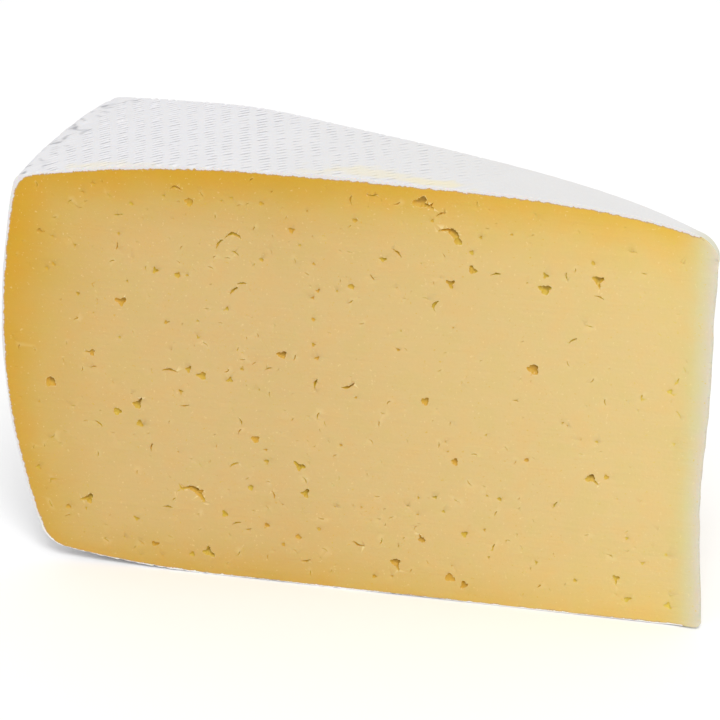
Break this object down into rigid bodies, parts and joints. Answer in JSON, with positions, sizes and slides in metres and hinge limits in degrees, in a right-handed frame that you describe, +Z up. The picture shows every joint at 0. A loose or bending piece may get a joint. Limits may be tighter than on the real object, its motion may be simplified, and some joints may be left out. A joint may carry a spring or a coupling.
{
  "type": "cheese wedge",
  "caption": "Upright radial wedge of a white-rinded semi-hard cheese with small irregular eyes, cut from a round wheel with a bulging rim.",
  "frame": {"origin": "bottom centre of the wedge's box, on the surface it stands on", "axes": "+X runs along the middle of the wedge from the rim to the tip, +Y across its thickness with the two knife cuts on -Y and +Y, +Z up through the wheel's height"},
  "size_m": [0.1262, 0.0416, 0.0799],
  "materials": {
    "paste": "smooth, slightly moist knife-cut paste with a dry white mould rind on the outside"
  },
  "bodies": {
    "root": {"cheese_wedge": "paste"}
  },
  "joints": []
}
